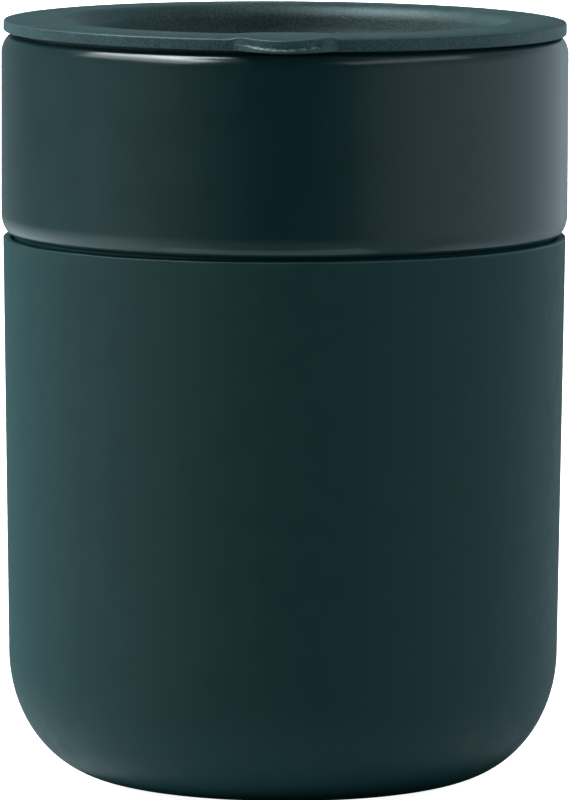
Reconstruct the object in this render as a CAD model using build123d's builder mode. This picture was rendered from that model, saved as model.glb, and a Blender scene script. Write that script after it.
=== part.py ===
from build123d import *

import os
from math import atan, cos, degrees, radians, sin, tan

# A glazed ceramic drinking cup that stands in a silicone sleeve and is closed by a press-in lid
# with a silicone gasket. Millimetres, +Z up. The origin is the centre of the flat base, and the
# lid's finger tab points towards -Y.

# ---- Driving dimensions ----

# Ceramic cup
band_r = 43.0  # outside radius of the bare band above the sleeve
rim_z = 113.05  # top of the cup's rim, where the lid rests
bore_r = 38.2  # straight part of the mouth, where the gasket runs
bore_bottom_z = 101.0
cavity_low_r = 36.4  # inside radius just above the bottom corner
cavity_corner = (15.0, 18.0)  # inside bottom corner, an ellipse: width, height
cavity_floor_z = 6.5
foot_ring_r = (17.5, 24.5)  # inner and outer radius of the ring that the cup stands on
foot_recess = 0.8
shelf_gap = 0.55  # open slot between the sleeve's top and the band
shelf_edge_r = 0.6  # tight turn where the band meets the shelf over the sleeve
band_round_r = 4.6  # large rounding of the band's lower edge
band_round_angle = 36.0
shoulder_r = 3.6  # large rounding under the lid
shoulder_angle = 37.7
rim_edge_r = 1.0
mouth_round = (2.2, 2.0)  # inside of the rim, an ellipse: width, height

# Silicone sleeve
sleeve_top_z = 82.6
sleeve_top_r = 42.72
sleeve_corner = (16.16, 19.25)  # outside bottom corner, an ellipse: width, height
sleeve_flat_r = 25.7  # flat part of the underside
sleeve_floor = 2.0
sleeve_wall = 1.32
sleeve_wall_growth = 0.06  # extra wall at the bottom corner
sleeve_clearance = 0.25  # modelled gap between the stretched sleeve and the ceramic
sleeve_edge_r = 0.15
soft_chamfer = 0.4  # lead-in on the sleeve's mouth and on the lid's plug

# Lid
lid_r = 42.7
lid_top_z = 115.6
lid_rim_r = (34.8, 39.6)  # flat top of the rim: where it turns into the dish, and into the edge
lid_side_z = 114.75  # top of the short upright side
lid_under_r = 0.5  # rounding between side and underside
lid_under_z = 113.3  # underside of the overhanging edge, clear of the rim
seat_r = 41.0  # inside this radius the underside steps down to rest on the rim
dish_depth = 7.6
dish_slope = 80.0  # degrees from level
dish_edge_r = 2.2
dish_corner_r = 5.0
lid_wall = 1.8
skirt_r = (35.3, 37.7)  # inner and outer radius of the plug
skirt_bottom_z = 104.5
skirt_root_depth = 0.9  # height of the rim's underside inside the plug, below the cup's rim
groove_z = (106.3, 110.1)
groove_r = 36.7

# Finger tab, a small disc that shows as a lens at the lid's edge
tab_r = 7.5
tab_tip = 46.4  # distance of the tip from the cup's axis
tab_top_z = 115.8
tab_droop = 0.4  # how far the top falls towards the tip
tab_lip = 0.25  # how far the lip hangs below the lid's underside
tab_inner_r = 33.0
cove_r = 1.0  # hollow along the front of the tab, for a fingernail
cove_depth = 0.6
cove_half_angle = 50.0

# Openings in the lid
sip_slot = (17.0, 6.0)
sip_y = 20.5
sip_round = 0.5
vent_r = 0.8
vent_y = -20.5
cut_margin = 1.0  # how far a cutting shape reaches past what it cuts

# Gasket
gasket_play = 0.08  # between gasket and groove
gasket_stand = 0.05  # how far the gasket's band stands out of the plug
lip_clearance = 0.15  # between the relaxed lips and the bore
lip_half_height = 0.4
lip_pitch = 1.25
lip_count = 3

# ---- Worked-out dimensions ----
cup_base_z = sleeve_floor
side_draft = (sleeve_top_r - sleeve_flat_r - sleeve_corner[0]) / (sleeve_top_z - sleeve_corner[1])


def blend_angle(width, height):
    """Degrees short of upright at which an elliptical corner has the sides' draft."""
    return degrees(atan(side_draft * height / width))


# ---- Silicone sleeve: a boot with a closed flat base and a crisp top edge ----
inner_top_r = sleeve_top_r - sleeve_wall
inner_corner = (sleeve_corner[0] - sleeve_wall - sleeve_wall_growth, sleeve_corner[1] - sleeve_floor)

with BuildPart() as silicone_sleeve:
    with BuildSketch(Plane.XZ):
        with BuildLine():
            outside_corner = EllipticalCenterArc(
                (sleeve_flat_r, sleeve_corner[1]), *sleeve_corner, -90, arc_size=90 - blend_angle(*sleeve_corner)
            )
            inside_corner = EllipticalCenterArc(
                (sleeve_flat_r, sleeve_corner[1]), *inner_corner, -90, arc_size=90 - blend_angle(*inner_corner)
            )
            Line((0, 0), outside_corner @ 0)
            Line(outside_corner @ 1, (sleeve_top_r, sleeve_top_z))
            Line((sleeve_top_r, sleeve_top_z), (inner_top_r, sleeve_top_z))
            Line((inner_top_r, sleeve_top_z), inside_corner @ 1)
            Line(inside_corner @ 0, (0, sleeve_floor))
            Line((0, sleeve_floor), (0, 0))
        make_face()
    revolve(axis=Axis.Z)
    top_rings = silicone_sleeve.edges().group_by(Axis.Z)[-1].sort_by(SortBy.RADIUS)
    chamfer(top_rings[0], soft_chamfer)
    top_rings = silicone_sleeve.edges().group_by(Axis.Z)[-1].sort_by(SortBy.RADIUS)
    fillet(top_rings[-1], sleeve_edge_r)

# ---- Cup body: one ceramic wall, waisted below the band so that the sleeve lies in line with it ----
waist_r = inner_top_r - sleeve_clearance
cup_corner_x = foot_ring_r[1]
cup_corner = (sleeve_flat_r + inner_corner[0] - sleeve_clearance - cup_corner_x, inner_corner[1])
shelf_z = sleeve_top_z + shelf_gap
shelf_r = (
    band_r
    - band_round_r * (1 - cos(radians(band_round_angle)))
    - shelf_edge_r * cos(radians(band_round_angle))
)
shoulder_z = (
    rim_z
    - shoulder_r * sin(radians(shoulder_angle))
    - rim_edge_r * (1 - sin(radians(shoulder_angle)))
)

with BuildPart() as cup_body:
    with BuildSketch(Plane.XZ):
        with BuildLine():
            foot_top_z = cup_base_z + foot_recess
            Polyline(
                (0, cavity_floor_z),
                (0, foot_top_z),
                (foot_ring_r[0] - foot_recess, foot_top_z),
                (foot_ring_r[0], cup_base_z),
                (cup_corner_x, cup_base_z),
            )
            outside = EllipticalCenterArc(
                (cup_corner_x, sleeve_corner[1]), *cup_corner, -90, arc_size=90 - blend_angle(*cup_corner)
            )
            Polyline(outside @ 1, (waist_r, shelf_z), (shelf_r, shelf_z))
            shelf_turn = JernArc((shelf_r, shelf_z), (1, 0), shelf_edge_r, 90 - band_round_angle)
            band_round = JernArc(shelf_turn @ 1, shelf_turn % 1, band_round_r, band_round_angle)
            Line(band_round @ 1, (band_r, shoulder_z))
            shoulder = JernArc((band_r, shoulder_z), (0, 1), shoulder_r, shoulder_angle)
            rim_edge = JernArc(shoulder @ 1, shoulder % 1, rim_edge_r, 90 - shoulder_angle)
            mouth_edge = EllipticalCenterArc(
                (bore_r + mouth_round[0], rim_z - mouth_round[1]), *mouth_round, 90, arc_size=90
            )
            Line(rim_edge @ 1, mouth_edge @ 0)
            Polyline(mouth_edge @ 1, (bore_r, bore_bottom_z), (cavity_low_r, cavity_floor_z + cavity_corner[1]))
            cavity_turn = EllipticalCenterArc(
                (cavity_low_r - cavity_corner[0], cavity_floor_z + cavity_corner[1]), *cavity_corner, 0, arc_size=-90
            )
            Line(cavity_turn @ 1, (0, cavity_floor_z))
        make_face()
    revolve(axis=Axis.Z)

# ---- Lid: flanged rim, dished top, plug skirt with a gasket groove, finger tab, sip slot, vent ----
dish_floor_z = lid_top_z - dish_depth
slope_start = JernArc((lid_rim_r[0], lid_top_z), (-1, 0), dish_edge_r, dish_slope, mode=Mode.PRIVATE) @ 1
slope_rise = slope_start.Y - dish_floor_z - dish_corner_r * (1 - cos(radians(dish_slope)))
slope_run = slope_rise / tan(radians(dish_slope))
dish_floor_r = slope_start.X - slope_run - dish_corner_r * sin(radians(dish_slope))
skirt_root_z = rim_z - skirt_root_depth
tab_centre = tab_tip - tab_r

with BuildPart() as lid:
    with BuildSketch(Plane.XZ):
        with BuildLine():
            dish_corner = JernArc((dish_floor_r, dish_floor_z), (1, 0), dish_corner_r, dish_slope)
            Line((0, dish_floor_z), dish_corner @ 0)
            dish_edge = JernArc(slope_start, dish_corner % 1, dish_edge_r, -dish_slope)
            Line(dish_corner @ 1, slope_start)
            top_edge = EllipticalCenterArc(
                (lid_rim_r[1], lid_side_z), lid_r - lid_rim_r[1], lid_top_z - lid_side_z, 90, arc_size=-90
            )
            Line(dish_edge @ 1, top_edge @ 0)
            under_edge = JernArc((lid_r, lid_under_z + lid_under_r), (0, -1), lid_under_r, -90)
            Line(top_edge @ 1, under_edge @ 0)
            under_corner = JernArc(
                (dish_floor_r, dish_floor_z - lid_wall), (1, 0), dish_corner_r + lid_wall, dish_slope
            )
            under_slope = (skirt_root_z - (under_corner @ 1).Y) / tan(radians(dish_slope))
            Polyline(
                under_edge @ 1,
                (seat_r, lid_under_z),
                (seat_r, rim_z),
                (skirt_r[1], rim_z),
                (skirt_r[1], skirt_bottom_z),
                (skirt_r[0], skirt_bottom_z),
                (skirt_r[0], skirt_root_z),
                ((under_corner @ 1).X + under_slope, skirt_root_z),
                under_corner @ 1,
            )
            Line(under_corner @ 0, (0, dish_floor_z - lid_wall))
            Line((0, dish_floor_z - lid_wall), (0, dish_floor_z))
        make_face()
    revolve(axis=Axis.Z)
    chamfer(lid.edges().group_by(Axis.Z)[0], soft_chamfer)

    # The tab: a disc on the rim, cut away over the dish, with a lip that hangs lower outside the rim.
    with BuildSketch(Plane.XY.offset(lid_under_z)):
        with Locations((0, -tab_centre)):
            Circle(tab_r)
        Circle(tab_inner_r, mode=Mode.SUBTRACT)
    extrude(amount=tab_top_z - lid_under_z)
    with BuildSketch(Plane.XY.offset(lid_under_z - tab_lip)):
        with Locations((0, -tab_centre)):
            Circle(tab_r)
        Circle(band_r, mode=Mode.SUBTRACT)
    extrude(amount=tab_lip)
    with BuildSketch(Plane.YZ):
        with BuildLine():
            Polyline(
                (-lid_rim_r[1], tab_top_z),
                (-tab_tip, tab_top_z - tab_droop),
                (-tab_tip, tab_top_z + cut_margin),
                (-lid_rim_r[1], tab_top_z + cut_margin),
                close=True,
            )
        make_face()
    extrude(amount=tab_r + cut_margin, both=True, mode=Mode.SUBTRACT)

    # The cove runs round the front of the tab, between its top edge and its lip.
    cove_start = radians(cove_half_angle)
    cove_plane = Plane(
        origin=(0, -tab_centre, 0),
        x_dir=(-sin(cove_start), -cos(cove_start), 0),
        z_dir=(-cos(cove_start), sin(cove_start), 0),
    )
    with BuildSketch(cove_plane):
        with Locations((tab_r + cove_r - cove_depth, (lid_under_z + tab_top_z - tab_droop) / 2)):
            Circle(cove_r)
    revolve(
        axis=Axis((0, -tab_centre, 0), (0, 0, 1)), revolution_arc=2 * cove_half_angle, mode=Mode.SUBTRACT
    )

    # Gasket groove round the plug.
    with BuildSketch(Plane.XY.offset(groove_z[0])):
        Circle(skirt_r[1] + cut_margin)
        Circle(groove_r, mode=Mode.SUBTRACT)
    extrude(amount=groove_z[1] - groove_z[0], mode=Mode.SUBTRACT)

    # Vent hole, and the sip slot opposite the tab with its upper edge rounded.
    with Locations((0, vent_y, dish_floor_z)):
        Hole(vent_r, depth=lid_wall)
    with BuildSketch(Plane.XY.offset(dish_floor_z)):
        with Locations((0, sip_y)):
            SlotOverall(*sip_slot)
    extrude(amount=-lid_wall, mode=Mode.SUBTRACT)
    fillet(lid.edges(Select.LAST).group_by(Axis.Z)[-1], sip_round)

# ---- Gasket: a band in the plug's groove with soft lips that press on the bore ----
gasket_height = groove_z[1] - groove_z[0] - 2 * gasket_play
gasket_mid_z = (groove_z[0] + groove_z[1]) / 2
gasket_outer_r = skirt_r[1] + gasket_stand

with BuildPart() as lid_gasket:
    with BuildSketch(Plane.XZ):
        band_width = gasket_outer_r - groove_r - gasket_play
        with Locations((groove_r + gasket_play + band_width / 2, gasket_mid_z)):
            Rectangle(band_width, gasket_height)
        with Locations((gasket_outer_r, gasket_mid_z)):
            with GridLocations(0, lip_pitch, 1, lip_count):
                Ellipse(bore_r - lip_clearance - gasket_outer_r, lip_half_height)
    revolve(axis=Axis.Z)

# ---- Write each piece ----
os.makedirs("parts", exist_ok=True)
silicone_sleeve.part.label = "silicone_sleeve"
export_step(silicone_sleeve.part, "parts/silicone_sleeve.step")
cup_body.part.label = "cup_body"
export_step(cup_body.part, "parts/cup_body.step")
lid.part.label = "lid"
export_step(lid.part, "parts/lid.step")
lid_gasket.part.label = "lid_gasket"
export_step(lid_gasket.part, "parts/lid_gasket.step")
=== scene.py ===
import math

import bpy
import bmesh
import numpy as np
from mathutils import Matrix, Vector


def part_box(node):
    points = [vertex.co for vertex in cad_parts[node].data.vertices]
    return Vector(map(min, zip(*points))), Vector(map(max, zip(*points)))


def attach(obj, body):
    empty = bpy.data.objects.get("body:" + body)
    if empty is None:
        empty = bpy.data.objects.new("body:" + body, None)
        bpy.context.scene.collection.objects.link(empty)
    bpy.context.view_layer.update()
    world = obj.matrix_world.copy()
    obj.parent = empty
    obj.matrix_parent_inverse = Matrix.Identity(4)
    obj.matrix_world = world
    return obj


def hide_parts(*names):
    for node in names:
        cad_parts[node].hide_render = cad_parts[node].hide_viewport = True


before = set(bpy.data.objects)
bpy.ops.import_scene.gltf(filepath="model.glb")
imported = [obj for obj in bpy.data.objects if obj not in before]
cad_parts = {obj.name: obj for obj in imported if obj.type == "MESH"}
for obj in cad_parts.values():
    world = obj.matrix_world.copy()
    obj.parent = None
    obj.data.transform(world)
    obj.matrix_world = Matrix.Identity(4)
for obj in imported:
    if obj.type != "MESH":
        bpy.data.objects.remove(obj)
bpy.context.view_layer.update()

# Looks for a lidded ceramic drinking cup in a silicone sleeve. Profiles are written in millimetres
# and turned about the Z axis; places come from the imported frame.
MM = 0.001
LIGHT_AIM_Z = 0.07


def top_mm(node):
    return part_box(node)[1].z / MM


def bottom_mm(node):
    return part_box(node)[0].z / MM


def reach_mm(node):
    """Largest X of a node, which is its radius when it is round."""
    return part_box(node)[1].x / MM


# ---------------------------------------------------------------- profiles and lathe

def arc(centre, radii, start, end, steps):
    """Points of an elliptical arc in the (radius, height) plane, angles in degrees from outward."""
    angles = np.radians(np.linspace(start, end, steps + 1))
    return [(centre[0] + radii[0] * math.cos(a), centre[1] + radii[1] * math.sin(a)) for a in angles]


def line(start, end, steps):
    """Points of a straight run, without its two ends."""
    share = np.linspace(0, 1, steps + 1)[1:-1]
    return [(start[0] + (end[0] - start[0]) * s, start[1] + (end[1] - start[1]) * s) for s in share]


def chain(*pieces, gap=1.5):
    """Joins arcs and points into one profile, with straight runs between them cut every gap mm."""
    points = []
    for piece in pieces:
        piece = piece if isinstance(piece, list) else [piece]
        if points:
            length = math.dist(points[-1], piece[0])
            if length < 1e-6:
                piece = piece[1:]
            else:
                points += line(points[-1], piece[0], max(1, round(length / gap)))
        points += piece
    return points


def lathe(name, profile, angles, shape=None, material_of=None):
    """A closed skin turned about Z. The profile is a list of (r, z) points, and shape(r, z, angle) may
    move them. A list of profiles, one for each angle, is joined up in the same way."""
    profile = np.array(profile)
    if profile.ndim == 2:
        profile = np.repeat(profile[:, None, :], len(angles), 1)
    else:
        profile = profile.transpose(1, 0, 2)
    r, z = profile[:, :, 0], profile[:, :, 1]
    a = np.repeat(angles[None, :], len(profile), 0)
    if shape:
        r, z = shape(r, z, a)
    x, y = r * np.sin(a), -r * np.cos(a)
    mesh_data = bmesh.new()
    rings = []
    for i in range(len(profile)):
        if profile[i, 0, 0] < 1e-9:
            rings.append([mesh_data.verts.new((0, 0, z[i, 0] * MM))])
        else:
            spots = zip(x[i] * MM, y[i] * MM, z[i] * MM)
            rings.append([mesh_data.verts.new(spot) for spot in spots])
    count = len(angles)
    for i in range(len(rings) - 1):
        low, high = rings[i], rings[i + 1]
        for j in range(count):
            k = (j + 1) % count
            if len(low) == 1:
                corners = (low[0], high[k], high[j])
            elif len(high) == 1:
                corners = (low[j], low[k], high[0])
            else:
                corners = (low[j], low[k], high[k], high[j])
            face = mesh_data.faces.new(corners)
            face.smooth = True
            face.material_index = material_of(i) if material_of else 0
    bmesh.ops.recalc_face_normals(mesh_data, faces=mesh_data.faces)
    mesh = bpy.data.meshes.new(name)
    mesh_data.to_mesh(mesh)
    mesh_data.free()
    piece = bpy.data.objects.new(name, mesh)
    bpy.context.scene.collection.objects.link(piece)
    return piece


def even_angles(count):
    """Angles all round, from the back over the left, the front and the right."""
    return np.linspace(-math.pi, math.pi, count, endpoint=False)


# ---------------------------------------------------------------- materials

class Nodes:
    """A short way to write a node tree: add() makes a node, sets sockets, and links (node, output) pairs."""

    def __init__(self, tree):
        self.tree = tree
        tree.nodes.clear()

    def add(self, kind, settings=None, **sockets):
        node = self.tree.nodes.new(kind)
        for key, value in (settings or {}).items():
            setattr(node, key, value)
        for key, value in sockets.items():
            socket = node.inputs[int(key[1:])] if key[1:].isdigit() else node.inputs[key.replace("_", " ")]
            if isinstance(value, tuple) and isinstance(value[0], bpy.types.Node):
                self.tree.links.new(value[0].outputs[value[1]], socket)
            else:
                socket.default_value = value
        return node


def new_material(name):
    material = bpy.data.materials.new(name)
    material.use_nodes = True
    return material, Nodes(material.node_tree)


def noise(nodes, where, scale, detail=2.0, rough=0.5):
    """Noise in object space; at scale 1000 its features are about a millimetre wide."""
    return nodes.add(
        "ShaderNodeTexNoise", None,
        Vector=(where, "Object"), Scale=scale, Detail=detail, Roughness=rough,
    )


def spread(nodes, source, low, high, output="Fac", window=(0.3, 0.7)):
    """Maps a noise value from its usual window to the range low..high."""
    return nodes.add(
        "ShaderNodeMapRange", None,
        Value=(source, output), From_Min=window[0], From_Max=window[1], To_Min=low, To_Max=high,
    )


def tint(nodes, source, dark, light, output="Result"):
    """A colour between dark and light, where the source runs from 0 to 1."""
    ramp = nodes.add("ShaderNodeMix", {"data_type": "RGBA"}, i0=(source, output))
    ramp.inputs[6].default_value = (*dark, 1)
    ramp.inputs[7].default_value = (*light, 1)
    return ramp


def mix_output(node):
    """The colour output of a Mix node, whose first two outputs are a number and a vector."""
    return (node, 2)


def silicone(name, dark, light, roughness, grain=1.0, edge=None):
    """Matte silicone: soft mottling, a fine frosted skin, and a painted highlight: the colour turns paler
    above the height edge[0], where the top edge catches the light from above.
    """
    material, nodes = new_material(name)
    where = nodes.add("ShaderNodeTexCoord")
    mottle = noise(nodes, where, 260, 3.0, 0.6)
    skin = noise(nodes, where, 2600, 2.0, 0.6)
    colour = tint(nodes, spread(nodes, mottle, 0, 1), dark, light)
    # Painted highlight: above a ragged height just under the top edge the colour turns paler, standing in for
    # the light the edge catches from above.
    if edge:
        parts = nodes.add("ShaderNodeSeparateXYZ", None, Vector=(where, "Object"))
        ragged = nodes.add(
            "ShaderNodeMath", {"operation": "MULTIPLY_ADD"}, i0=(mottle, "Fac"), i1=0.0002, i2=(parts, "Z"),
        )
        rim = nodes.add(
            "ShaderNodeMapRange", None,
            Value=(ragged, 0), From_Min=edge[0] - 0.00005, From_Max=edge[0] + 0.00005,
        )
        edge_highlight = nodes.add("ShaderNodeMix", {"data_type": "RGBA"}, i0=(rim, "Result"), i6=mix_output(colour))
        edge_highlight.inputs[7].default_value = (*edge[1], 1)
        colour = edge_highlight
    rough = spread(nodes, mottle, roughness[0], roughness[1])
    fine = nodes.add("ShaderNodeBump", None, Height=(skin, "Fac"), Strength=0.5, Distance=0.00003 * grain)
    soft = nodes.add(
        "ShaderNodeBump", None,
        Height=(mottle, "Fac"), Strength=0.5, Distance=0.00012 * grain, Normal=(fine, "Normal"),
    )
    shader = nodes.add(
        "ShaderNodeBsdfPrincipled", None,
        Base_Color=mix_output(colour), Roughness=(rough, "Result"), Normal=(soft, "Normal"),
        IOR=1.41, Specular_IOR_Level=0.25,
    )
    nodes.add("ShaderNodeOutputMaterial", None, Surface=(shader, "BSDF"))
    return material


def glaze(name, dark, light):
    """Satin glaze: faint pooling of colour, orange-peel waviness and a nearly even gloss."""
    material, nodes = new_material(name)
    where = nodes.add("ShaderNodeTexCoord")
    pool = noise(nodes, where, 120, 3.0, 0.5)
    peel = noise(nodes, where, 420, 1.0, 0.5)
    speck = noise(nodes, where, 3500, 1.0, 0.5)
    colour = tint(nodes, spread(nodes, pool, 0, 1), dark, light)
    rough = spread(nodes, pool, 0.16, 0.22)
    wave = nodes.add("ShaderNodeBump", None, Height=(peel, "Fac"), Strength=0.5, Distance=0.00001)
    fine = nodes.add(
        "ShaderNodeBump", None,
        Height=(speck, "Fac"), Strength=0.3, Distance=0.000002, Normal=(wave, "Normal"),
    )
    shader = nodes.add(
        "ShaderNodeBsdfPrincipled", None,
        Base_Color=mix_output(colour), Roughness=(rough, "Result"), Normal=(fine, "Normal"), IOR=1.5,
    )
    nodes.add("ShaderNodeOutputMaterial", None, Surface=(shader, "BSDF"))
    return material


def bare_clay(name):
    """The unglazed ring under the cup: pale stoneware with fine dark specks."""
    material, nodes = new_material(name)
    where = nodes.add("ShaderNodeTexCoord")
    speck = noise(nodes, where, 1800, 4.0, 0.7)
    share = spread(nodes, speck, 0, 1, window=(0.35, 0.6))
    colour = tint(nodes, share, (0.32, 0.27, 0.21), (0.62, 0.56, 0.47))
    bump = nodes.add("ShaderNodeBump", None, Height=(speck, "Fac"), Strength=0.6, Distance=0.00005)
    shader = nodes.add(
        "ShaderNodeBsdfPrincipled", None,
        Base_Color=mix_output(colour), Roughness=0.85, Normal=(bump, "Normal"),
    )
    nodes.add("ShaderNodeOutputMaterial", None, Surface=(shader, "BSDF"))
    return material


def grained_plastic(name, dark, light, highlight_colour):
    """Matte moulded plastic with a spark-eroded grain, a little paler on the tops of the grain, and a painted
    highlight in pale specks along the tab's lip."""
    material, nodes = new_material(name)
    where = nodes.add("ShaderNodeTexCoord")
    cloud = noise(nodes, where, 180, 3.0, 0.5)
    grain = noise(nodes, where, 2800, 2.0, 0.65)
    both = nodes.add(
        "ShaderNodeMath", {"operation": "MULTIPLY_ADD"}, i0=(grain, "Fac"), i1=3.0, i2=(cloud, "Fac"),
    )
    colour = tint(nodes, spread(nodes, both, 0, 1, "Value", (1.6, 2.4)), dark, light)
    # Painted highlight: a pale colour, broken into specks, on a thin strip along the front of the tab's lip,
    # standing in for the light the lip's edge catches.
    parts = nodes.add("ShaderNodeSeparateXYZ", None, Vector=(where, "Object"))
    square = nodes.add("ShaderNodeMath", {"operation": "MULTIPLY"}, i0=(parts, "X"), i1=(parts, "X"))
    bend = -TAB_LIP_RISE / TAB_HALF_WIDTH**2 / MM
    along = nodes.add(
        "ShaderNodeMath", {"operation": "MULTIPLY_ADD"}, i0=(square, 0), i1=bend, i2=(parts, "Z"),
    )
    lip = TAB_LIP_Z * MM
    over = nodes.add(
        "ShaderNodeMapRange", None, Value=(along, 0), From_Min=lip - 0.0001, From_Max=lip + 0.0001,
    )
    under = nodes.add(
        "ShaderNodeMapRange", None, Value=(along, 0), From_Min=lip + 0.0004, From_Max=lip + 0.0002,
    )
    front = nodes.add(
        "ShaderNodeMapRange", None,
        Value=(parts, "Y"), From_Min=-TAB_HIGHLIGHT_FROM[0] * MM, From_Max=-TAB_HIGHLIGHT_FROM[1] * MM,
    )
    speckle = spread(nodes, noise(nodes, where, 1500, 2.0, 0.6), 0, 1, window=(0.38, 0.62))
    times = {"operation": "MULTIPLY"}
    strip = nodes.add("ShaderNodeMath", times, i0=(over, "Result"), i1=(under, "Result"))
    lip_only = nodes.add("ShaderNodeMath", times, i0=(strip, 0), i1=(front, "Result"))
    highlight_specks = nodes.add("ShaderNodeMath", times, i0=(lip_only, 0), i1=(speckle, "Result"))
    with_lip_highlight = nodes.add("ShaderNodeMix", {"data_type": "RGBA"}, i0=(highlight_specks, 0), i6=mix_output(colour))
    with_lip_highlight.inputs[7].default_value = (*highlight_colour, 1)
    rough = spread(nodes, grain, 0.44, 0.56)
    bump = nodes.add("ShaderNodeBump", None, Height=(grain, "Fac"), Strength=0.9, Distance=0.00006)
    shader = nodes.add(
        "ShaderNodeBsdfPrincipled", None,
        Base_Color=mix_output(with_lip_highlight), Roughness=(rough, "Result"), Normal=(bump, "Normal"),
        IOR=1.49, Specular_IOR_Level=0.35,
    )
    nodes.add("ShaderNodeOutputMaterial", None, Surface=(shader, "BSDF"))
    return material


# ---------------------------------------------------------------- silicone sleeve

SLEEVE_TOP_Z = top_mm("silicone_sleeve")
SLEEVE_TOP_R = 42.72
SLEEVE_FLAT_R = 25.7
SLEEVE_CORNER = (16.16, 19.25)
SLEEVE_FLOOR = 2.0
SLEEVE_WALL = 1.32
SLEEVE_LAND_CHAMFER = 0.4
SLEEVE_INNER_CORNER = (SLEEVE_CORNER[0] - SLEEVE_WALL - 0.06, SLEEVE_CORNER[1] - SLEEVE_FLOOR)
SLEEVE_SKEW = 0.15
SIDE_DRAFT = (SLEEVE_TOP_R - SLEEVE_FLAT_R - SLEEVE_CORNER[0]) / (SLEEVE_TOP_Z - SLEEVE_CORNER[1])


def blend_angle(corner):
    """Where the bottom corner's elliptical arc runs into the slightly leaning wall, in degrees."""
    return math.degrees(math.atan(SIDE_DRAFT * corner[1] / corner[0]))


def make_sleeve():
    """The silicone boot: a closed base, a round bottom corner and a thin wall up to the band."""
    edge, land = 0.16, SLEEVE_LAND_CHAMFER
    inner_top = SLEEVE_TOP_R - SLEEVE_WALL
    inner_corner = SLEEVE_INNER_CORNER
    centre = (SLEEVE_FLAT_R, SLEEVE_CORNER[1])
    profile = chain(
        (0.0, 0.0),
        arc(centre, SLEEVE_CORNER, -90, -blend_angle(SLEEVE_CORNER), 40),
        arc((SLEEVE_TOP_R - edge, SLEEVE_TOP_Z - edge), (edge, edge), 0, 90, 6),
        arc((inner_top + land, SLEEVE_TOP_Z - land), (land, land), 90, 180, 5),
        arc(centre, inner_corner, -blend_angle(inner_corner), -90, 24),
        (0.0, SLEEVE_FLOOR),
        gap=1.6,
    )

    def uneven(r, z, a):
        """Soft rubber: the top edge sits a little askew and is not quite level."""
        share = np.clip((z - 45) / (SLEEVE_TOP_Z - 45), 0, 1) ** 2
        wave = 0.03 * np.sin(3 * a + 1.0) + 0.02 * np.sin(7 * a + 0.4) + 0.012 * np.sin(16 * a + 2.0)
        return r, z + share * (SLEEVE_SKEW * np.sin(a) + wave)

    piece = lathe("silicone_sleeve_skin", profile, even_angles(360), uneven)
    # The edge colour passed below is the painted highlight along the sleeve's top edge.
    piece.data.materials.append(silicone(
        "sleeve_silicone", (0.0073, 0.0347, 0.0374), (0.0087, 0.0382, 0.0408), (0.50, 0.60),
        edge=((SLEEVE_TOP_Z - 0.08) * MM, (0.022, 0.077, 0.082)),
    ))
    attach(piece, "sleeve")
    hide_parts("silicone_sleeve")
    return piece


# ---------------------------------------------------------------- ceramic cup

BAND_R = reach_mm("cup_body")
RIM_Z = top_mm("cup_body")
BORE_R = 38.2
BORE_BOTTOM_Z = 101.0
MOUTH_ROUND = (2.2, 2.0)
CAVITY_R = 36.4
CAVITY_CORNER = (15.0, 18.0)
CAVITY_FLOOR_Z = 6.5
FOOT_RING = (17.5, 24.5)
FOOT_RECESS = 0.8
SLEEVE_ROOM = 0.25
WAIST_R = SLEEVE_TOP_R - SLEEVE_WALL - SLEEVE_ROOM
SHELF_Z = SLEEVE_TOP_Z + 0.55


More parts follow.
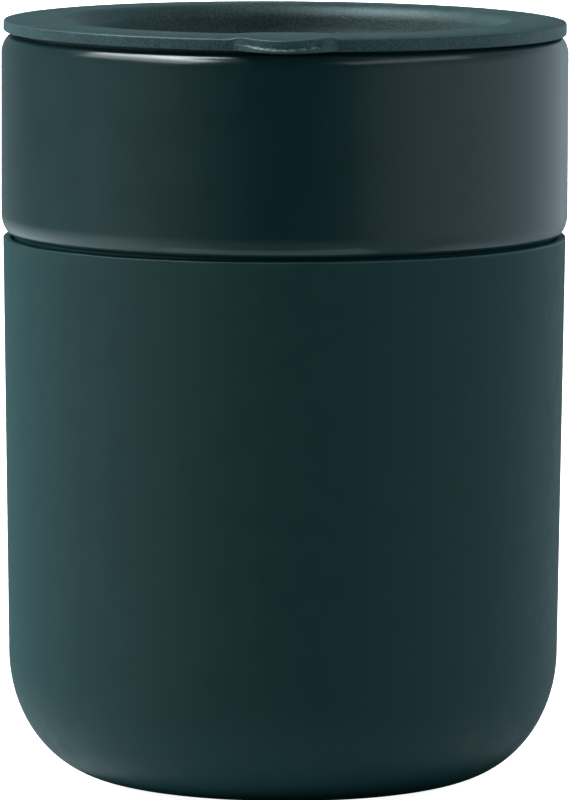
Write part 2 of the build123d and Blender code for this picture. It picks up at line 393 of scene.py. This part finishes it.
def make_cup():
    """The ceramic wall in one skin: foot ring, hidden lower wall, shelf, band, shoulder, rim and cavity."""
    base_z = bottom_mm("cup_body")
    round_r, round_angle, shelf_edge, nook = 4.6, 36.0, 0.6, 0.25
    shoulder_r, shoulder_angle, rim_edge = 3.6, 37.7, 1.0
    corner_x = FOOT_RING[1]
    cup_corner = (SLEEVE_FLAT_R + SLEEVE_INNER_CORNER[0] - SLEEVE_ROOM - corner_x, SLEEVE_INNER_CORNER[1])
    round_sin, round_cos = math.sin(math.radians(round_angle)), math.cos(math.radians(round_angle))
    shoulder_sin = math.sin(math.radians(shoulder_angle))
    shoulder_cos = math.cos(math.radians(shoulder_angle))
    round_z = SHELF_Z + shelf_edge * (1 - round_sin) + round_r * round_sin
    shelf_centre = (
        BAND_R - round_r + (round_r - shelf_edge) * round_cos,
        round_z - (round_r - shelf_edge) * round_sin,
    )
    shoulder_z = RIM_Z - shoulder_r * shoulder_sin - rim_edge * (1 - shoulder_sin)
    rim_centre = (
        BAND_R - shoulder_r + (shoulder_r - rim_edge) * shoulder_cos,
        shoulder_z + (shoulder_r - rim_edge) * shoulder_sin,
    )
    foot_top = base_z + FOOT_RECESS
    profile = chain(
        (0.0, foot_top),
        (FOOT_RING[0] - FOOT_RECESS, foot_top),
        (FOOT_RING[0], base_z),
        arc((corner_x, SLEEVE_CORNER[1]), cup_corner, -90, -blend_angle(cup_corner), 32),
        arc((WAIST_R + nook, SHELF_Z - nook), (nook, nook), 180, 90, 5),
        arc(shelf_centre, (shelf_edge, shelf_edge), -90, -round_angle, 10),
        arc((BAND_R - round_r, round_z), (round_r, round_r), -round_angle, 0, 16),
        arc((BAND_R - shoulder_r, shoulder_z), (shoulder_r, shoulder_r), 0, shoulder_angle, 14),
        arc(rim_centre, (rim_edge, rim_edge), shoulder_angle, 90, 8),
        arc((BORE_R + MOUTH_ROUND[0], RIM_Z - MOUTH_ROUND[1]), MOUTH_ROUND, 90, 180, 14),
        (BORE_R, BORE_BOTTOM_Z),
        arc((CAVITY_R - CAVITY_CORNER[0], CAVITY_FLOOR_Z + CAVITY_CORNER[1]), CAVITY_CORNER, 0, -90, 28),
        (0.0, CAVITY_FLOOR_Z),
        gap=1.5,
    )
    rings = np.array(profile)

    def unglazed(i):
        """1 for the flat of the foot ring, which stands bare, and 0 for the rest."""
        middle = (rings[i] + rings[i + 1]) / 2
        return int(FOOT_RING[0] - 0.4 < middle[0] < FOOT_RING[1] and middle[1] < base_z + 0.05)

    piece = lathe("cup_ceramic", profile, even_angles(360), material_of=unglazed)
    piece.data.materials.append(glaze("cup_glaze", (0.0046, 0.0255, 0.0282), (0.0053, 0.0290, 0.0320)))
    piece.data.materials.append(bare_clay("cup_bare_clay"))
    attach(piece, "cup")
    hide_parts("cup_body")
    return piece


# ---------------------------------------------------------------- lid

LID_R = reach_mm("lid")
LID_TOP_Z = 115.65
RIM_INNER = 34.8
RIM_OUTER = 39.6
CROWN_SLOPE = 11.0
TOP_EDGE = 0.35
UNDER_EDGE = 0.3
UNDER_Z = 113.55
LID_SKEW = (-0.08, -0.24)
SEAT_R = 39.6
DISH_DEPTH = 7.6
DISH_SLOPE = 80.0
DISH_EDGE = 2.7
DISH_CORNER = 5.0
LID_WALL = 1.8
SKIRT_R = (35.3, 37.7)
GROOVE_R = 36.7
SIP_SLOT = (17.0, 6.0)
SIP_Y = 20.5
SIP_ROUND = 0.5
VENT_R = 0.8

# The finger tab: a rounded tongue that flows out of the lid's edge, with a shallow cove along its front
TAB_TIP = -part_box("lid")[0].y / MM
TAB_SPREAD = 8.0
TAB_HALF_WIDTH = 6.75
TAB_RAISE = 0.1
TAB_INNER_SHIFT = 1.8
TAB_EDGE_Z = 115.38
TAB_EDGE_RISE = 0.37
TAB_LIP_Z = 113.87
TAB_LIP_RISE = 0.7
TAB_UNDER_Z = 113.52
TAB_FADE = (8.0, 11.8)
# Distances to the front over which the painted highlight on the tab's lip fades in.
TAB_HIGHLIGHT_FROM = (43.6, 44.6)
COVE_DEPTH = 0.6


def lid_angles():
    """Steps of about one degree, and fine ones round the tab at the front."""
    half, step = math.radians(13), math.radians(0.2)
    fine = np.arange(-half, half + step / 2, step)
    rest = np.linspace(half, 2 * math.pi - half, 280)[1:-1]
    return np.concatenate([fine, rest])


def smooth(low, high, value):
    """An even S-curve from 0 at low to 1 at high."""
    t = min(max((value - low) / (high - low), 0), 1)
    return t * t * (3 - 2 * t)


def joined(*parts):
    """One profile from lists of points, where a number between two lists is how many points a straight
    run between them gets."""
    points = []
    for k, part in enumerate(parts):
        if isinstance(part, int):
            share = np.linspace(0, 1, part + 2)[1:-1]
            start, end = parts[k - 1][-1], parts[k + 1][0]
            along, up = end[0] - start[0], end[1] - start[1]
            points += [(start[0] + along * t, start[1] + up * t) for t in share]
        else:
            points += part
    return np.array(points)


def lid_edge(angle):
    """The outer part of the lid's section at an angle from the tab's middle, from the flat of the rim over
    the edge to the seat. It blends the plain rounded edge into the tab."""
    crown_sin, crown_cos = math.sin(math.radians(CROWN_SLOPE)), math.cos(math.radians(CROWN_SLOPE))
    crown_run = LID_R - TOP_EDGE * (1 - crown_sin) - RIM_OUTER
    crown_r = crown_run / crown_sin
    side_z = LID_TOP_Z - crown_r * (1 - crown_cos) - TOP_EDGE * crown_cos
    plain = joined(
        arc((RIM_OUTER, LID_TOP_Z - crown_r), (crown_r, crown_r), 90, 90 - CROWN_SLOPE, 12),
        arc((LID_R - TOP_EDGE, side_z), (TOP_EDGE, TOP_EDGE), 90 - CROWN_SLOPE, 0, 7),
        12,
        arc((LID_R - UNDER_EDGE, UNDER_Z + UNDER_EDGE), (UNDER_EDGE, UNDER_EDGE), 0, -90, 10),
        2,
        [(SEAT_R + 0.3, UNDER_Z)],
    )
    side = LID_R * math.sin(angle)
    share = max(1 - (side / TAB_SPREAD) ** 2, 0) ** 1.6
    reach = LID_R + (TAB_TIP - LID_R) * share
    off = min(abs(side) / TAB_HALF_WIDTH, 1)
    top = TAB_EDGE_Z + TAB_EDGE_RISE * off**2
    lip = TAB_LIP_Z + TAB_LIP_RISE * off**2
    rough = 0.03 * math.sin(side * 7.1 + 0.4) + 0.025 * math.sin(side * 15.7 + 2.0)
    rough += 0.02 * math.sin(side * 3.3)
    depth = COVE_DEPTH * smooth(0.2, 0.6, share)
    edge = 0.22
    brow = reach - depth * 0.55
    ledge = lip + 0.36
    fall = ledge - top + edge
    low = TAB_UNDER_Z + 0.1 * (1 - share)
    steps = (0.25, 0.5, 0.75, 1)
    cove = [(brow - (depth * 0.45) * math.sin(math.pi / 2 * t), top - edge + fall * t) for t in steps]
    tab = joined(
        [(RIM_OUTER, LID_TOP_Z + TAB_RAISE)],
        13,
        [(brow - edge, top)],
        arc((brow - edge, top - edge), (edge, edge), 75, 0, 5),
        cove,
        [(reach - 0.1 + rough * share, lip + 0.08), (reach, lip - 0.03), (reach, lip - 0.16)],
        5,
        arc((reach - 0.2, low + 0.2), (0.2, 0.2), 0, -90, 10),
        2,
        [(SEAT_R + 0.3, UNDER_Z)],
    )
    crispness = smooth(TAB_FADE[1], TAB_FADE[0], abs(math.degrees(angle)))
    return plain + (tab - plain) * crispness


def make_lid():
    """The lid in one skin: dish, flat rim, edge with the tab, seat, plug skirt with its groove, underside."""
    s, c = math.sin(math.radians(DISH_SLOPE)), math.cos(math.radians(DISH_SLOPE))
    floor_z = LID_TOP_Z - DISH_DEPTH
    rise = DISH_DEPTH - (DISH_EDGE + DISH_CORNER) * (1 - c)
    floor_r = RIM_INNER - (DISH_EDGE + DISH_CORNER) * s - rise * c / s
    seat_z, root_z = RIM_Z, RIM_Z - 0.9
    skirt_z, skirt_round = bottom_mm("lid"), 0.4
    groove_low, groove_high = 106.3, 110.1
    under_r = DISH_CORNER + LID_WALL
    under_end = (floor_r + under_r * s, floor_z - LID_WALL + under_r * (1 - c))
    root_r = under_end[0] + (root_z - under_end[1]) * c / s
    below = chain(
        (SEAT_R, UNDER_Z),
        (SEAT_R, seat_z),
        (SKIRT_R[1], seat_z),
        (SKIRT_R[1], groove_high),
        (GROOVE_R, groove_high),
        (GROOVE_R, groove_low),
        (SKIRT_R[1], groove_low),
        arc((SKIRT_R[1] - skirt_round, skirt_z + skirt_round), (skirt_round, skirt_round), 0, -90, 4),
        arc((SKIRT_R[0] + skirt_round, skirt_z + skirt_round), (skirt_round, skirt_round), 270, 180, 4),
        (SKIRT_R[0], root_z),
        (root_r, root_z),
        arc((floor_r, floor_z + DISH_CORNER), (under_r, under_r), -90 + DISH_SLOPE, -90, 12),
        (0.0, floor_z - LID_WALL),
        gap=1.5,
    )
    dish = chain(
        (0.0, floor_z),
        arc((floor_r, floor_z + DISH_CORNER), (DISH_CORNER, DISH_CORNER), -90, -90 + DISH_SLOPE, 16),
        arc((RIM_INNER, LID_TOP_Z - DISH_EDGE), (DISH_EDGE, DISH_EDGE), 90 + DISH_SLOPE, 90, 14),
        gap=1.2,
    )
    angles = lid_angles()
    sections = []
    for angle in angles:
        near_tab = smooth(TAB_FADE[1] + 2, TAB_FADE[0] - 3, abs(math.degrees(angle)))
        inner = np.array(dish)
        upper = np.array([smooth(LID_TOP_Z - 2.5, LID_TOP_Z - 0.3, z) for z in inner[:, 1]]) * near_tab
        inner[:, 0] -= TAB_INNER_SHIFT * upper
        inner[:, 1] += TAB_RAISE * upper
        edge = lid_edge(angle)
        flat = [inner[-1] + (edge[0] - inner[-1]) * t for t in (0.2, 0.4, 0.6, 0.8)]
        sections.append(np.vstack([inner, flat, edge, below]))

    def askew(r, z, a):
        """The flange sits a trace higher on the left than on the right."""
        flange = np.clip((r - SKIRT_R[1]) / 1.5, 0, 1)
        height = np.clip((z - UNDER_Z) / (LID_TOP_Z - UNDER_Z), 0, 1)
        skew = LID_SKEW[1] + (LID_SKEW[0] - LID_SKEW[1]) * height
        return r, z + flange * np.sin(a) * skew * (z > RIM_Z + 0.1)

    piece = lathe("lid_shell", sections, angles, askew)
    cut_openings(piece, floor_z)
    # The third colour is the painted highlight on the tab's lip.
    piece.data.materials.append(grained_plastic(
        "lid_plastic", (0.009, 0.033, 0.036), (0.026, 0.077, 0.083), (0.21, 0.36, 0.38),
    ))
    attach(piece, "lid")
    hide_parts("lid")
    return piece


def flared_plug(name, outline, floor_z, flare):
    """A cutter through the dish floor: outline(grow) gives a loop of points, and the loops widen at the top
    along a quarter round of radius flare."""
    rings = [(outline(0.0), floor_z - LID_WALL - 1.0), (outline(0.0), floor_z - flare)]
    for t in np.radians(np.linspace(0, 90, 7))[1:]:
        rings.append((outline(flare * (1 - math.cos(t))), floor_z - flare * (1 - math.sin(t))))
    rings.append((outline(flare), floor_z + 1.0))
    verts = [(x * MM, y * MM, z * MM) for loop, z in rings for x, y in loop]
    count = len(rings[0][0])
    faces = [tuple(range(count - 1, -1, -1)), tuple(range(len(verts) - count, len(verts)))]
    for i in range(len(rings) - 1):
        for j in range(count):
            k = (j + 1) % count
            faces.append((i * count + j, i * count + k, (i + 1) * count + k, (i + 1) * count + j))
    mesh = bpy.data.meshes.new(name)
    mesh.from_pydata(verts, [], faces)
    mesh.polygons.foreach_set("use_smooth", [True] * len(faces))
    cutter = bpy.data.objects.new(name, mesh)
    bpy.context.scene.collection.objects.link(cutter)
    return cutter


def stadium(grow):
    """Outline of the sip slot, grown outwards."""
    radius = SIP_SLOT[1] / 2 + grow
    straight = (SIP_SLOT[0] - SIP_SLOT[1]) / 2
    turns = np.radians(np.linspace(-90, 90, 25))
    right = [(straight + radius * math.cos(t), SIP_Y + radius * math.sin(t)) for t in turns]
    left = [(-x, 2 * SIP_Y - y) for x, y in right]
    return right + left


def vent_circle(grow):
    """Outline of the vent opposite the slot, grown outwards."""
    radius = VENT_R + grow
    turns = np.radians(np.arange(0, 360, 10))
    return [(radius * math.cos(t), -SIP_Y + radius * math.sin(t)) for t in turns]


def cut_openings(piece, floor_z):
    """Cuts the sip slot and the vent through the dish, then shades across soft turns only."""
    cutters = [
        flared_plug("slot_cutter", stadium, floor_z, SIP_ROUND),
        flared_plug("vent_cutter", vent_circle, floor_z, 0.2),
    ]
    for cutter in cutters:
        boolean = piece.modifiers.new(cutter.name, "BOOLEAN")
        boolean.operation = "DIFFERENCE"
        boolean.solver = "EXACT"
        boolean.object = cutter
    graph = bpy.context.evaluated_depsgraph_get()
    cut = bpy.data.meshes.new_from_object(piece.evaluated_get(graph))
    piece.modifiers.clear()
    piece.data = cut
    cut.set_sharp_from_angle(angle=math.radians(40))
    for cutter in cutters:
        bpy.data.objects.remove(cutter)


# ---------------------------------------------------------------- gasket

def make_gasket():
    """A silicone ring with three soft lips round it."""
    low, high = bottom_mm("lid_gasket"), top_mm("lid_gasket")
    inner_r, outer_r, tip_r, corner = 36.78, 37.75, reach_mm("lid_gasket"), 0.2
    middle, pitch, half = (low + high) / 2, 1.25, 0.4
    lips = []
    for k in (-1, 0, 1):
        lips.append(arc((outer_r, middle + k * pitch), (tip_r - outer_r, half), -90, 90, 8))
    profile = chain(
        arc((outer_r - corner, low + corner), (corner, corner), -90, 0, 4),
        *lips,
        arc((outer_r - corner, high - corner), (corner, corner), 0, 90, 4),
        arc((inner_r + corner, high - corner), (corner, corner), 90, 180, 4),
        arc((inner_r + corner, low + corner), (corner, corner), 180, 270, 4),
        gap=0.5,
    )
    profile.append(profile[0])
    piece = lathe("gasket_ring", profile, even_angles(300))
    piece.data.materials.append(silicone(
        "gasket_silicone", (0.013, 0.045, 0.048), (0.017, 0.052, 0.055), (0.35, 0.45), 0.5,
    ))
    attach(piece, "gasket")
    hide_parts("lid_gasket")
    return piece


# ---------------------------------------------------------------- studio

def radiance_ramp(nodes, source, stops):
    """A colour ramp over azimuth: stops are (degrees to the right of the front, radiance)."""
    ramp = nodes.add("ShaderNodeValToRGB", None, Fac=(source, 0))
    ramp.color_ramp.interpolation = "EASE"
    elements = ramp.color_ramp.elements
    while len(elements) > 1:
        elements.remove(elements[-1])
    for k, (degrees, value) in enumerate(stops):
        place = (degrees + 180) / 360
        element = elements[0] if k == 0 else elements.new(place)
        element.position = place
        element.color = (value * 0.92, value * 1.11, value * (1.23 if degrees > 0 else 1.15), 1)
    return ramp


def make_world():
    """White where the camera looks past the object. Everything else sees three rings of light, at level,
    above and below, which blend into each other with height."""
    world = bpy.data.worlds.new("studio")
    world.use_nodes = True
    bpy.context.scene.world = world
    nodes = Nodes(world.node_tree)
    direction = nodes.add("ShaderNodeTexCoord")
    parts = nodes.add("ShaderNodeSeparateXYZ", None, Vector=(direction, "Generated"))
    back = nodes.add("ShaderNodeMath", {"operation": "MULTIPLY"}, i0=(parts, "Y"), i1=-1.0)
    turn = nodes.add("ShaderNodeMath", {"operation": "ARCTAN2"}, i0=(parts, "X"), i1=(back, 0))
    share = nodes.add("ShaderNodeMapRange", None, Value=(turn, 0), From_Min=-math.pi, From_Max=math.pi)
    # The level stops are measured, not designed: they are the bare band's brightness in the reference
    # photograph, over the glaze's reflectance. The upper and lower rings were set one by one.
    level = radiance_ramp(nodes, share, [
        (-180, 0.10), (-165, 0.19), (-128, 0.19), (-105, 0.27), (-82, 0.41), (-66, 0.37),
        (-52, 0.28), (-39, 0.20), (-26, 0.11), (-12, 0.02), (14, 0.02), (26, 0.10), (39, 0.30),
        (52, 0.43), (66, 0.51), (99, 0.63), (133, 0.70), (152, 0.63), (165, 0.39), (180, 0.10),
    ])
    upper = radiance_ramp(nodes, share, [
        (-180, 0.05), (-110, 0.1), (-60, 0.25), (-35, 0.05), (0, 0.02), (35, 0.05), (60, 0.3),
        (120, 0.25), (180, 0.05),
    ])
    lower = radiance_ramp(nodes, share, [
        (-180, 0.6), (-150, 1.3), (-120, 1.3), (-80, 1.2), (-50, 0.6), (-25, 0.3), (0, 0.2),
        (30, 0.3), (60, 0.38), (120, 0.65), (180, 0.1),
    ])
    soft = {"interpolation_type": "SMOOTHSTEP"}
    up = nodes.add("ShaderNodeMapRange", soft, Value=(parts, "Z"), From_Min=0.12, From_Max=0.55)
    down = nodes.add("ShaderNodeMapRange", None, Value=(parts, "Z"), From_Min=-0.08, From_Max=-0.45)
    nadir = nodes.add("ShaderNodeMapRange", soft, Value=(parts, "Z"), From_Min=-0.7, From_Max=-0.95)
    blend = {"data_type": "RGBA"}
    with_top = nodes.add("ShaderNodeMix", blend, i0=(up, "Result"), i6=(level, "Color"), i7=(upper, "Color"))
    with_low = nodes.add(
        "ShaderNodeMix", blend, i0=(down, "Result"), i6=mix_output(with_top), i7=(lower, "Color"),
    )
    with_floor = nodes.add(
        "ShaderNodeMix", blend, i0=(nadir, "Result"), i6=mix_output(with_low), i7=(0.1, 0.1, 0.1, 1),
    )
    panels = nodes.add("ShaderNodeBackground", None, Color=mix_output(with_floor), Strength=1.0)
    white = nodes.add("ShaderNodeBackground", None, Color=(1, 1, 1, 1), Strength=1.05)
    path = nodes.add("ShaderNodeLightPath")
    both = nodes.add("ShaderNodeMixShader", None, i0=(path, "Is Camera Ray"), i1=(panels, 0), i2=(white, 0))
    nodes.add("ShaderNodeOutputWorld", None, Surface=(both, 0))


def soft_box(
    name, azimuth, elevation, size, distance, irradiance, glossy=True, diffuse=True, colour=(1, 1, 1)
):
    """A rectangle of light that faces the cup and never shows in the picture. Azimuth counts from the
    front towards the right, and the irradiance is what reaches the cup."""
    data = bpy.data.lights.new(name, "AREA")
    data.shape = "RECTANGLE"
    data.size, data.size_y = size
    data.energy = irradiance * math.pi * distance**2
    data.color = colour
    lamp = bpy.data.objects.new(name, data)
    a, e = math.radians(azimuth), math.radians(elevation)
    away = Vector((math.sin(a) * math.cos(e), -math.cos(a) * math.cos(e), math.sin(e)))
    lamp.location = Vector((0, 0, LIGHT_AIM_Z)) + away * distance
    lamp.rotation_mode = "QUATERNION"
    lamp.rotation_quaternion = away.to_track_quat("Z", "Y")
    lamp.visible_glossy = glossy
    lamp.visible_diffuse = diffuse
    lamp.visible_camera = False
    bpy.context.scene.collection.objects.link(lamp)


def make_lights():
    """Softboxes that only show in the gloss, and broad fills from both sides, from behind and from above."""
    cool = (0.94, 1.0, 1.01)
    teal = (0.76, 1.0, 1.03)
    soft_box("key_softbox", -71, 50, (1.25, 0.25), 1.4, 1.85, diffuse=False, colour=cool)
    soft_box("key_skirt", -71, 39, (1.25, 0.3), 1.4, 0.72, diffuse=False, colour=cool)
    soft_box("top_softbox", -92, 64, (1.1, 0.5), 1.4, 4.3, diffuse=False, colour=teal)
    soft_box("right_strip", 60, 43, (1.3, 0.3), 1.4, 0.25, diffuse=False, colour=cool)
    soft_box("front_under_glow", -10, -62, (1.8, 0.6), 1.4, 0.4, diffuse=False, colour=teal)
    soft_box("right_under_glow", 110, -45, (1.2, 0.6), 1.4, 0.08, diffuse=False, colour=cool)
    # A fit to the sleeve's brightness in the reference photograph gave the directions of the next four
    # fills. Two elevations and all the strengths were then changed.
    soft_box("left_back_fill", -125, 20, (1.7, 1.1), 1.6, 6.5, glossy=False)
    soft_box("left_low_fill", -65, -8, (1.7, 1.1), 1.6, 1.55, glossy=False)
    soft_box("right_fill", 70, 10, (1.7, 1.1), 1.6, 1.1, glossy=False)
    soft_box("right_back_fill", 155, 15, (1.7, 1.1), 1.6, 4.2, glossy=False)
    soft_box("overhead_fill", 180, 75, (1.2, 1.2), 1.6, 0.4, glossy=False)


def make_floor():
    """A plain pale floor that only the camera sees, so that it throws no glare on the glaze."""
    half, low = 6.0, -0.0001
    mesh = bpy.data.meshes.new("floor")
    corners = [(-half, -half, low), (half, -half, low), (half, half, low), (-half, half, low)]
    mesh.from_pydata(corners, [], [(0, 1, 2, 3)])
    floor = bpy.data.objects.new("floor", mesh)
    bpy.context.scene.collection.objects.link(floor)
    material, nodes = new_material("pale_floor")
    where = nodes.add("ShaderNodeTexCoord")
    cloud = noise(nodes, where, 3.0)
    colour = tint(nodes, spread(nodes, cloud, 0, 1), (0.78, 0.78, 0.78), (0.8, 0.8, 0.8))
    shader = nodes.add(
        "ShaderNodeBsdfPrincipled", None, Base_Color=mix_output(colour), Roughness=0.9,
        Emission_Color=(1, 1, 1, 1), Emission_Strength=0.93,
    )
    nodes.add("ShaderNodeOutputMaterial", None, Surface=(shader, "BSDF"))
    mesh.materials.append(material)
    floor.visible_glossy = False
    floor.visible_diffuse = False
    floor.visible_shadow = False


def make_shade_card():
    """A dark matte card under the foot. The camera does not see it; it keeps light from below off the
    base, as the shaded table does under a real cup."""
    radius, low, right = 0.036, -0.0003, 0.003
    count = 96
    turns = [2 * math.pi * k / count for k in range(count)]
    mesh = bpy.data.meshes.new("shade_card")
    verts = [(right + radius * math.cos(t), radius * math.sin(t), low) for t in turns]
    mesh.from_pydata(verts, [], [tuple(range(count))])
    card = bpy.data.objects.new("shade_card", mesh)
    bpy.context.scene.collection.objects.link(card)
    material, nodes = new_material("dark_card")
    where = nodes.add("ShaderNodeTexCoord")
    share = spread(nodes, noise(nodes, where, 40.0), 0, 1)
    colour = tint(nodes, share, (0.012, 0.014, 0.014), (0.02, 0.022, 0.022))
    shader = nodes.add("ShaderNodeBsdfPrincipled", None, Base_Color=mix_output(colour), Roughness=0.95)
    nodes.add("ShaderNodeOutputMaterial", None, Surface=(shader, "BSDF"))
    mesh.materials.append(material)
    card.visible_camera = False


def make_camera():
    """Eye level a little above the lid, from 1.2 m, with a long lens."""
    data = bpy.data.cameras.new("camera")
    data.sensor_width = 36.0
    data.lens = 355.0
    camera = bpy.data.objects.new("camera", data)
    place = Matrix.Translation((0.0001, -1.1938, 0.19595))
    tilt = Matrix.Rotation(math.radians(90 - 6.62), 4, "X") @ Matrix.Rotation(math.radians(0.2), 4, "Z")
    camera.matrix_world = place @ tilt
    bpy.context.scene.collection.objects.link(camera)
    bpy.context.scene.camera = camera


bpy.context.scene.view_settings.view_transform = "Standard"
make_world()
make_lights()
make_floor()
make_shade_card()
make_camera()
make_sleeve()
make_cup()
make_lid()
make_gasket()
